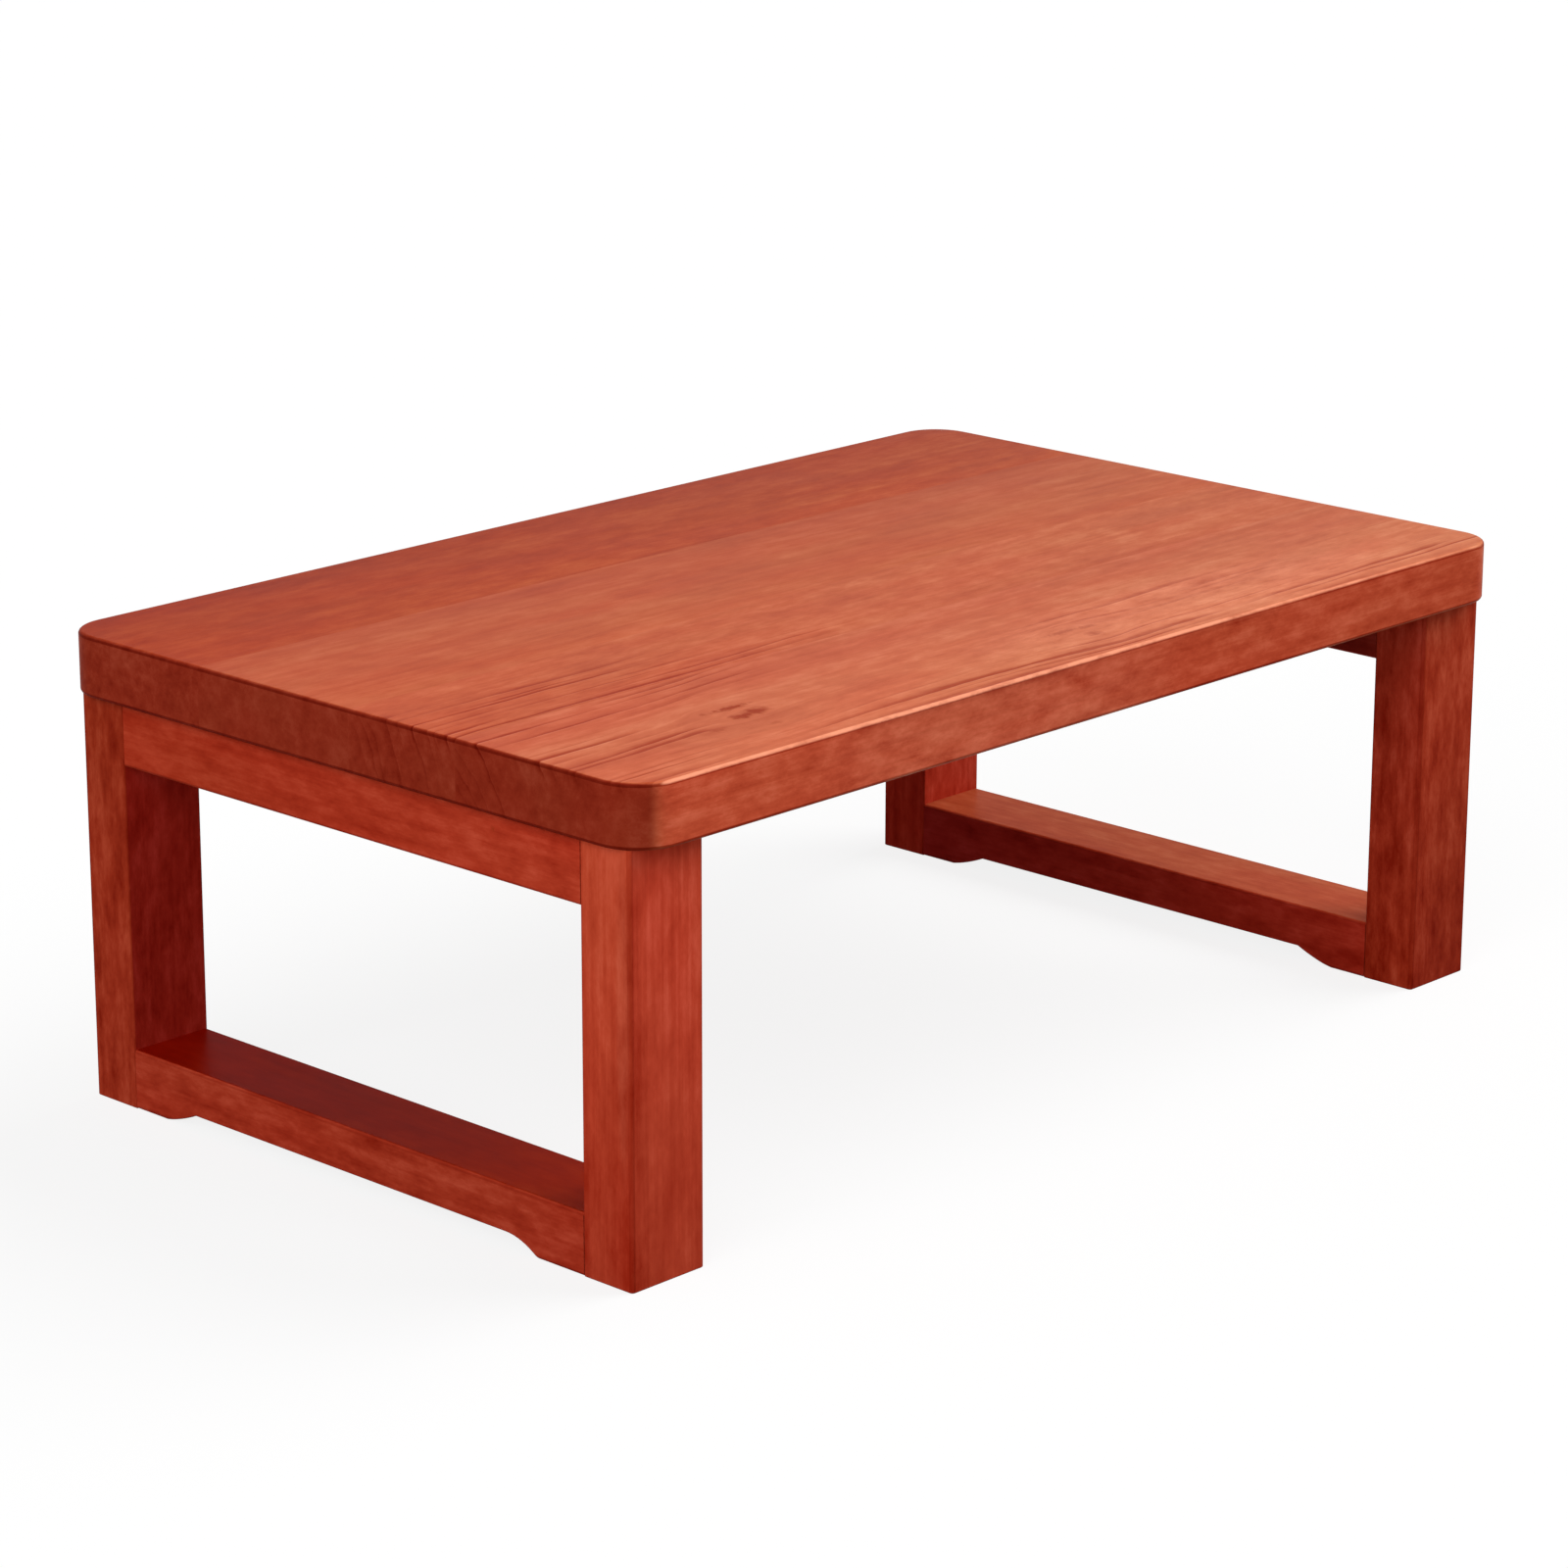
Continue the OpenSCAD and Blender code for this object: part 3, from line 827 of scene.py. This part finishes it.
def add_to(whole, part, place):
    """Adds a bmesh, moved to its place, to another and frees it."""
    bmesh.ops.translate(part, verts=part.verts, vec=place)
    data = mesh_data("part", part)
    whole.from_mesh(data)
    bpy.data.meshes.remove(data)


def fill_node(node, ending, make, widest, material):
    """Finishes a node of like, upright pieces. make gives the piece for the corners of a solid,
    with its foot at the origin. Its roundings are narrower than widest."""
    whole = bmesh.new()
    for low, high in solids(node):
        part = make(low, high)
        mark_arrises(part, widest)
        add_to(whole, part, ((low.x + high.x) / 2, (low.y + high.y) / 2, low.z))
    finish_piece(node + ending, whole, [node], material)


def reach(vertex):
    """Distance of a vertex from the Z axis."""
    return math.hypot(vertex.co.x, vertex.co.y)


def set_reach(vertex, radius):
    """Moves a vertex straight out or in to a radius about Z."""
    factor = radius / reach(vertex)
    vertex.co.x *= factor
    vertex.co.y *= factor


def screw_wall(mesh, root, crest, pitch, length, steps):
    """Adds the helical wall of a thread from z = 0 up to length, open at both ends, and gives its two rims.
    A crest wider than the root makes an outer thread, a narrower one an inner thread."""
    turns = range(-1, math.ceil(length / pitch) + 1)
    shape = ((0.0, root), (0.10, root), (0.40, crest), (0.55, crest), (0.85, root))
    profile = [(radius, (turn + share) * pitch) for turn in turns for share, radius in shape]
    before = set(mesh.verts)
    spin_round(mesh, outline(mesh, profile, closed=False), steps, climb=pitch)
    for height, side in ((0.0, -1), (length, 1)):
        wall = [vertex for vertex in mesh.verts if vertex not in before]
        edges = {edge for vertex in wall for edge in vertex.link_edges}
        faces = {face for vertex in wall for face in vertex.link_faces}
        geom = [*wall, *edges, *faces]
        bmesh.ops.bisect_plane(mesh, geom=geom, dist=TURNED_WELD, plane_co=(0, 0, height),
                               plane_no=(0, 0, side), clear_outer=True)
    wall = [vertex for vertex in mesh.verts if vertex not in before]
    open_edges = {edge for vertex in wall for edge in vertex.link_edges if edge.is_boundary}
    return [
        [edge for edge in open_edges if all(abs(v.co.z - height) < 0.01 * MM for v in edge.verts)]
        for height in (0.0, length)
    ]


# Operators

class LOWTABLE_OT_top_boards(Operator):
    """Finish the four boards of the top"""

    bl_idname = "low_table.top_boards"
    bl_label = "Top Boards"

    def execute(self, context):
        corner = TOP_CORNER + 1 * MM
        low, high = CAD_BOX
        for node, timber in TOP_TIMBER.items():
            board_low, board_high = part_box(node)

            def is_bare(face):
                middle = face.calc_center_median()
                near_end = min(middle.x - low.x, high.x - middle.x) < corner
                near_side = min(middle.y - low.y, high.y - middle.y) < corner
                seam = abs(face.normal.y) > 0.99 and low.y + INSIDE < middle.y < high.y - INSIDE
                bore = inside(face, board_low, board_high) and not (near_end and near_side)
                return seam or bore

            wooden_piece(node, timber, "stained_top", is_bare)
        return {"FINISHED"}


class LOWTABLE_OT_posts(Operator):
    """Finish the four posts"""

    bl_idname = "low_table.posts"
    bl_label = "Posts"

    def execute(self, context):
        for node, timber in POST_TIMBER.items():
            low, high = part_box(node)

            def is_bare(face):
                return inside(face, low, high)

            def at_foot(edge):
                return all(vertex.co.z < low.z + 0.05 * MM for vertex in edge.verts)

            wooden_piece(node, timber, "stained_frame", is_bare, at_foot)
        return {"FINISHED"}


class LOWTABLE_OT_rails(Operator):
    """Finish the upper and lower rails"""

    bl_idname = "low_table.rails"
    bl_label = "Rails"

    def execute(self, context):
        relief = 12 * MM
        for node, timber in RAIL_TIMBER.items():
            low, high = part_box(node)
            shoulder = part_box(node.split("_")[0] + "_post_rear")[0].y
            bored = "upper" in node

            def is_bare(face):
                middle = face.calc_center_median()
                joint = abs(middle.y) > shoulder + 0.2 * MM
                bore = (abs(middle.x - (low.x + high.x) / 2) < COUNTERBORE_RADIUS + 1 * MM
                        and abs(middle.y) < shoulder - INSIDE
                        and inside(face, low, high))
                return joint or (bored and bore)

            def at_relief_or_bore(edge):
                return all(
                    vertex.co.z < low.z + relief and abs(vertex.co.y) < shoulder - 2 * MM
                    for vertex in edge.verts)

            wooden_piece(node, timber, "stained_frame", is_bare, at_relief_or_bore)
        return {"FINISHED"}


class LOWTABLE_OT_dowels(Operator):
    """Make the fluted beech dowels in the seams of the top"""

    bl_idname = "low_table.dowels"
    bl_label = "Dowels"

    def execute(self, context):
        hardware = context.scene.low_table_hardware
        material = beech("beech", context.scene.low_table_finish.beech)
        for node in ("rear_seam_dowels", "middle_seam_dowels", "front_seam_dowels"):
            whole = bmesh.new()
            for low, high in solids(node):
                place = ((low.x + high.x) / 2, low.y, (low.z + high.z) / 2)
                add_to(whole, self.dowel(high - low, hardware), place)
            finish_piece(node + "_fluted", whole, [node], material)
        return {"FINISHED"}

    def dowel(self, size, hardware):
        """One dowel from the origin along Y: a fluted round with chamfered ends."""
        radius = size.x / 2
        chamfer = 1.2 * MM
        narrow = 1 - chamfer / radius
        per_flute = 4
        mesh = bmesh.new()
        ring = bmesh.ops.create_circle(mesh, segments=per_flute * hardware.flutes, radius=radius)["verts"]
        for vertex in ring[::per_flute]:
            set_reach(vertex, radius - hardware.flute_depth)
        bmesh.ops.scale(mesh, verts=ring, vec=(narrow, narrow, 1))
        edges = mesh.edges[:]
        bmesh.ops.edgeloop_fill(mesh, edges=edges)
        edges = draw_out(mesh, edges, (
            (chamfer, 1 / narrow), (size.y - 2 * chamfer, 1), (chamfer, narrow)))
        bmesh.ops.edgeloop_fill(mesh, edges=edges)
        bmesh.ops.rotate(mesh, verts=mesh.verts, matrix=Matrix.Rotation(-math.pi / 2, 3, "X"))
        bmesh.ops.recalc_face_normals(mesh, faces=mesh.faces)
        mark_arrises(mesh, widest=1.0 * MM)
        return mesh


class LOWTABLE_OT_washers(Operator):
    """Make the washers under the bolt heads"""

    bl_idname = "low_table.washers"
    bl_label = "Washers"

    def execute(self, context):
        colour = context.scene.low_table_hardware.washer_colour
        material = plated("bright_zinc", colour, roughness=0.30, scuff=0.4)
        for node in ("left_washers", "right_washers"):
            fill_node(node, "_turned", self.washer, 0.4 * MM, material)
        return {"FINISHED"}

    def washer(self, low, high):
        """One washer with eased edges."""
        hole = 4.5 * MM
        edge = 0.25 * MM
        outer = (high.x - low.x) / 2
        thick = high.z - low.z
        profile = (
            (hole, edge), (hole + edge, 0), (outer - edge, 0), (outer, edge),
            (outer, thick - edge), (outer - edge, thick), (hole + edge, thick), (hole, thick - edge))
        return turned_solid(profile, steps=64)


class LOWTABLE_OT_bolts(Operator):
    """Make the button-headed bolts, with their threads and hexagon sockets"""

    bl_idname = "low_table.bolts"
    bl_label = "Bolts"

    def execute(self, context):
        hardware = context.scene.low_table_hardware
        material = plated("black_zinc", hardware.bolt_colour, roughness=0.42, scuff=0.6, metal=0.85)
        for node in ("left_bolts", "right_bolts"):
            fill_node(node, "_threaded", self.bolt, 0.7 * MM, material)
        return {"FINISHED"}

    def bolt(self, low, high):
        """One bolt with its head at the origin and its shank up along Z."""
        hardware = bpy.context.scene.low_table_hardware
        size = high - low
        neck = BOLT_RADIUS - hardware.thread_depth
        length = size.z - BOLT_HEAD
        steps = 32
        mesh = bmesh.new()
        bottom, top = screw_wall(mesh, neck, BOLT_RADIUS, hardware.metric_pitch, length, steps)
        for vertex in mesh.verts:
            run_out = neck + vertex.co.z * 0.5
            lead_in = BOLT_RADIUS - 1.0 * MM + (length - vertex.co.z)
            set_reach(vertex, min(reach(vertex), run_out, lead_in))
        bmesh.ops.edgeloop_fill(mesh, edges=top)
        bmesh.ops.translate(mesh, verts=mesh.verts, vec=(0, 0, BOLT_HEAD))

        # The head, drawn out as a dome from the socket's mouth to the seat and in to the shank:
        # shares of its radius, and heights in millimetres
        widest = size.x / 2
        dome = (
            (0.68, 0.0), (0.80, 0.35), (0.90, 0.95), (0.96, 1.75), (0.99, 2.70), (1.0, 3.60),
            (1.0, 4.25), (0.98, 4.40), (0.64, 4.40))
        eased = 0.15 * MM
        socket_corner = hardware.socket_size / 2 / math.cos(math.pi / 6) + eased
        mouth = self.ring(mesh, socket_corner, corners=6, parts=8)
        rim = self.ring(mesh, widest * dome[0][0], corners=48, parts=1)
        bmesh.ops.bridge_loops(mesh, edges=mouth + rim)
        steps = [((high - low) * MM, wide / narrow)
                 for (narrow, low), (wide, high) in zip(dome, dome[1:])]
        seat = draw_out(mesh, rim, steps)
        bmesh.ops.bridge_loops(mesh, edges=seat + bottom)

        # The socket has an eased mouth, straight walls and a drilled bottom
        bore = draw_out(mesh, mouth, ((0.2 * MM, 0.95), (2.3 * MM, 1.0), (0.5 * MM, 0.3)))
        bmesh.ops.edgeloop_fill(mesh, edges=bore)
        bmesh.ops.recalc_face_normals(mesh, faces=mesh.faces)
        return mesh

    def ring(self, mesh, radius, corners, parts):
        """The edges of a polygon round Z at z = 0, each side in equal parts."""
        before = set(mesh.edges)
        bmesh.ops.create_circle(mesh, segments=corners, radius=radius)
        edges = [edge for edge in mesh.edges if edge not in before]
        if parts > 1:
            bmesh.ops.subdivide_edges(mesh, edges=edges, cuts=parts - 1)
        return [edge for edge in mesh.edges if edge not in before]


class LOWTABLE_OT_inserts(Operator):
    """Make the barbed inserts that the bolts screw into"""

    bl_idname = "low_table.inserts"
    bl_label = "Inserts"

    def execute(self, context):
        hardware = context.scene.low_table_hardware
        material = plated("zinc_alloy", hardware.insert_colour, roughness=0.45, scuff=0.3)
        for node in ("left_inserts", "right_inserts"):
            bolt_low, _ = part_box(node.replace("inserts", "bolts"))

            def make(low, high):
                # Half a turn puts the crests of one thread into the roots of the other
                turns = 0.5 + (low.z - bolt_low.z - BOLT_HEAD) / hardware.metric_pitch
                return self.insert(high - low, turns, hardware)

            fill_node(node, "_barbed", make, 0.5 * MM, material)
        return {"FINISHED"}

    def insert(self, size, turns, hardware):
        """One insert, its flange at the origin: barbs outside, in its bore a thread rotated by turns."""
        outer = size.x / 2
        root = outer - hardware.barb_height
        length = size.z
        bevel = 0.2 * MM
        tip = outer - 0.05 * MM
        flange = 1.6 * MM
        body = 2.0 * MM
        bore_at_flange = 4.9 * MM
        bore_at_end = 4.7 * MM
        mesh = bmesh.new()
        profile = [(bore_at_flange, 0), (outer - bevel, 0), (outer, bevel), (outer, flange), (root, body)]
        count = int(length / hardware.barb_pitch)
        for barb in range(1, count):
            start = barb * hardware.barb_pitch
            profile += [(root, start), (tip, start + 0.1 * MM), (tip, start + 0.5 * MM),
                        (root, start + 2.0 * MM)]
        profile += [(root, length - 0.6 * MM), (root - bevel, length), (bore_at_end, length)]

        # Grooves up the sides cut each ring into barbs
        columns = 48
        groove_every = 8
        spin_round(mesh, outline(mesh, profile, closed=False), columns)
        for vertex in mesh.verts:
            column = round(math.atan2(vertex.co.y, vertex.co.x) / math.tau * columns)
            if column % groove_every == 0 and vertex.co.z > body and reach(vertex) > root:
                set_reach(vertex, root)
        rims = [edge for edge in mesh.edges if edge.is_boundary]
        ends = [[edge for edge in rims if (edge.verts[0].co.z > length / 2) == far] for far in (False, True)]

        # The bore's thread meets the bolt's with 0.1 mm of room and fades out at both ends
        room = 0.1 * MM
        crest = BOLT_RADIUS - hardware.thread_depth + room
        before = set(mesh.verts)
        walls = screw_wall(mesh, BOLT_RADIUS + room, crest, hardware.metric_pitch, length, 32)
        thread = [vertex for vertex in mesh.verts if vertex not in before]
        bmesh.ops.rotate(mesh, verts=thread, matrix=Matrix.Rotation(math.tau * turns, 3, "Z"))
        for vertex in thread:
            near_end = min(vertex.co.z, length - vertex.co.z)
            set_reach(vertex, max(reach(vertex), BOLT_RADIUS + 0.3 * MM - near_end))
        for end, wall in zip(ends, walls):
            bmesh.ops.triangle_fill(mesh, edges=end + wall, use_beauty=True)
        bmesh.ops.recalc_face_normals(mesh, faces=mesh.faces)
        return mesh


class LOWTABLE_OT_stage(Operator):
    """Set up the floor, the lamps, the world and the camera"""

    bl_idname = "low_table.stage"
    bl_label = "Studio"

    def execute(self, context):
        studio = context.scene.low_table_studio
        self.floor(studio)
        self.world(studio)
        self.lamps(studio)
        self.camera(studio)
        context.scene.view_settings.view_transform = "Standard"
        return {"FINISHED"}

    def seen(self, finish):
        """1 for rays from the camera or off a shiny surface, 0 for the light that falls on things."""
        path = finish.node("ShaderNodeLightPath", output="Is Camera Ray").socket.node
        rays = [Wire(finish, path.outputs[name]) for name in ("Is Glossy Ray", "Is Transmission Ray")]
        first = Wire(finish, path.outputs["Is Camera Ray"])
        return first.math("MAXIMUM", first, rays[0].math("MAXIMUM", *rays))

    def floor(self, studio):
        mesh = bmesh.new()
        bmesh.ops.create_grid(mesh, x_segments=1, y_segments=1, size=60)
        floor = put_in_scene("studio_floor", mesh_data("studio_floor", mesh))
        finish = Finish.of_material("studio_floor")
        seen = self.seen(finish)
        bounce = [studio.floor_bounce] * 3
        colour = finish.mix(seen, bounce, studio.floor_colour)
        paint = finish.node("ShaderNodeBsdfDiffuse", sockets={"Color": colour})
        glow = finish.node("ShaderNodeEmission", sockets={"Color": (1, 1, 1, 1), "Strength": 1.0})
        surface = finish.node("ShaderNodeMixShader", sockets={0: seen * studio.floor_glow, 1: paint, 2: glow})

        # Seen from below, the floor is clear and shows the table's underside
        below = finish.node("ShaderNodeNewGeometry", output="Backfacing")
        clear = finish.node("ShaderNodeBsdfTransparent")
        surface = finish.node("ShaderNodeMixShader", sockets={0: below, 1: surface, 2: clear})
        floor.data.materials.append(finish.end(surface))

    def world(self, studio):
        world = bpy.data.worlds.new("studio_world")
        bpy.context.scene.world = world
        finish = Finish(world)
        strength = self.seen(finish) * (1 - studio.ambient) + studio.ambient
        sockets = {"Color": (1, 1, 1, 1), "Strength": strength}
        sky = finish.node("ShaderNodeBackground", sockets=sockets)
        finish.end(sky, "ShaderNodeOutputWorld")

    def lamps(self, studio):
        for name in ("key", "fill"):
            strength, azimuth, elevation = (
                getattr(studio, f"{name}_{part}") for part in ("strength", "azimuth", "elevation"))
            data = bpy.data.lights.new(name, "SUN")
            data.energy = strength
            data.angle = studio.lamp_width
            lamp = put_in_scene(name, data)
            lamp.rotation_euler = self.towards(azimuth, elevation).to_track_quat("Z", "Y").to_euler()

    def towards(self, azimuth, elevation):
        """A unit vector from the table, azimuth 0 to the front and 90 degrees to the right."""
        level = math.cos(elevation)
        return Vector((math.sin(azimuth) * level, -math.cos(azimuth) * level, math.sin(elevation)))

    def camera(self, studio):
        back = self.towards(studio.azimuth, studio.elevation)
        right = (-back).cross(Vector((0, 0, 1))).normalized()
        up = right.cross(-back)
        low, high = CAD_BOX
        aim = Vector((0, 0, (low.z + high.z) / 2)) + right * studio.aim_right + up * studio.aim_up
        turned_right = right * math.cos(studio.roll) + up * math.sin(studio.roll)
        turned_up = up * math.cos(studio.roll) - right * math.sin(studio.roll)
        data = bpy.data.cameras.new("camera")
        data.sensor_width = 36
        data.lens = studio.lens
        camera = put_in_scene("camera", data)
        turn = Matrix((turned_right, turned_up, back)).transposed().to_4x4()
        camera.matrix_world = Matrix.Translation(aim + back * studio.distance) @ turn
        bpy.context.scene.camera = camera


OPERATORS = (
    LOWTABLE_OT_top_boards,
    LOWTABLE_OT_posts,
    LOWTABLE_OT_rails,
    LOWTABLE_OT_dowels,
    LOWTABLE_OT_washers,
    LOWTABLE_OT_bolts,
    LOWTABLE_OT_inserts,
    LOWTABLE_OT_stage,
)


class LOWTABLE_PT_build(Panel):
    """Buttons for each group of pieces, in the sidebar of the 3D view"""

    bl_label = "Low Table"
    bl_space_type = "VIEW_3D"
    bl_region_type = "UI"
    bl_category = "Low Table"

    def draw(self, context):
        for operator in OPERATORS:
            self.layout.operator(operator.bl_idname)


SETTINGS = {
    "low_table_finish": FinishSettings,
    "low_table_hardware": HardwareSettings,
    "low_table_studio": StudioSettings,
}

CLASSES = (*SETTINGS.values(), *OPERATORS, LOWTABLE_PT_build)


def register():
    for group in CLASSES:
        bpy.utils.register_class(group)
    for name, group in SETTINGS.items():
        setattr(bpy.types.Scene, name, PointerProperty(type=group))


def unregister():
    for name in SETTINGS:
        delattr(bpy.types.Scene, name)
    for group in reversed(CLASSES):
        bpy.utils.unregister_class(group)


def main():
    register()
    bpy.ops.low_table.stage()
    bpy.ops.low_table.top_boards()
    bpy.ops.low_table.posts()
    bpy.ops.low_table.rails()
    bpy.ops.low_table.dowels()
    bpy.ops.low_table.washers()
    bpy.ops.low_table.bolts()
    bpy.ops.low_table.inserts()


if __name__ == "__main__":
    main()
